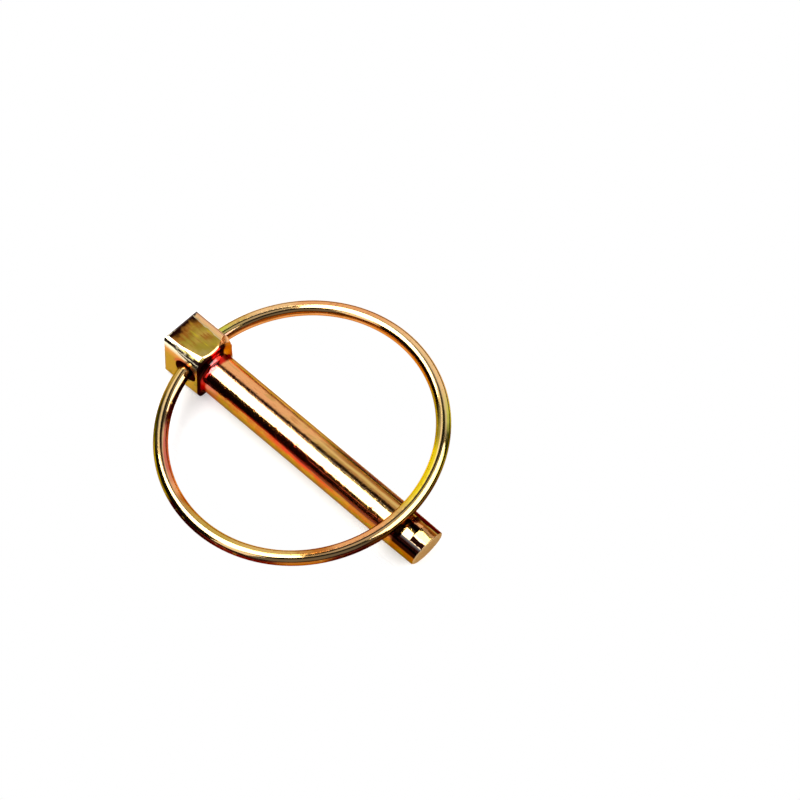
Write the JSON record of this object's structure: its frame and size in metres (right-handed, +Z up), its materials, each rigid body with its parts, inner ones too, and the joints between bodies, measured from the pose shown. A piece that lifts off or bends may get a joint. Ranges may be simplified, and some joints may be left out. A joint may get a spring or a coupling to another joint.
{
  "type": "lynch pin",
  "caption": "Lynch pin: a round forged shank with a square head and a sheared tip, and a spring-wire ring hinged in the head that swings over and closes on the shank.",
  "frame": {"origin": "on the shank's axis where its straight wall starts, at the end of the fillet under the head", "axes": "+X along the shank from the head to the cropped tip, +Z up out of the side the pin lies on, and the ring's hinge axis close to Y"},
  "size_m": [0.0637, 0.0543, 0.0138],
  "materials": {
    "pin_plating": "forged steel with yellow chromate over bright zinc plating",
    "ring_plating": "drawn spring wire with yellow chromate over bright zinc plating"
  },
  "bodies": {
    "pin_body": {"pin": "pin_plating"},
    "ring_body": {"ring": "ring_plating"}
  },
  "joints": [
    {"name": "ring_swing", "type": "hinge", "parent": "pin_body", "child": "ring_body", "pos_m": [-0.0046, 0.00015, 0.0016], "axis": [0.022, -0.991, -0.1321], "range_deg": [0, 347.8]}
  ]
}
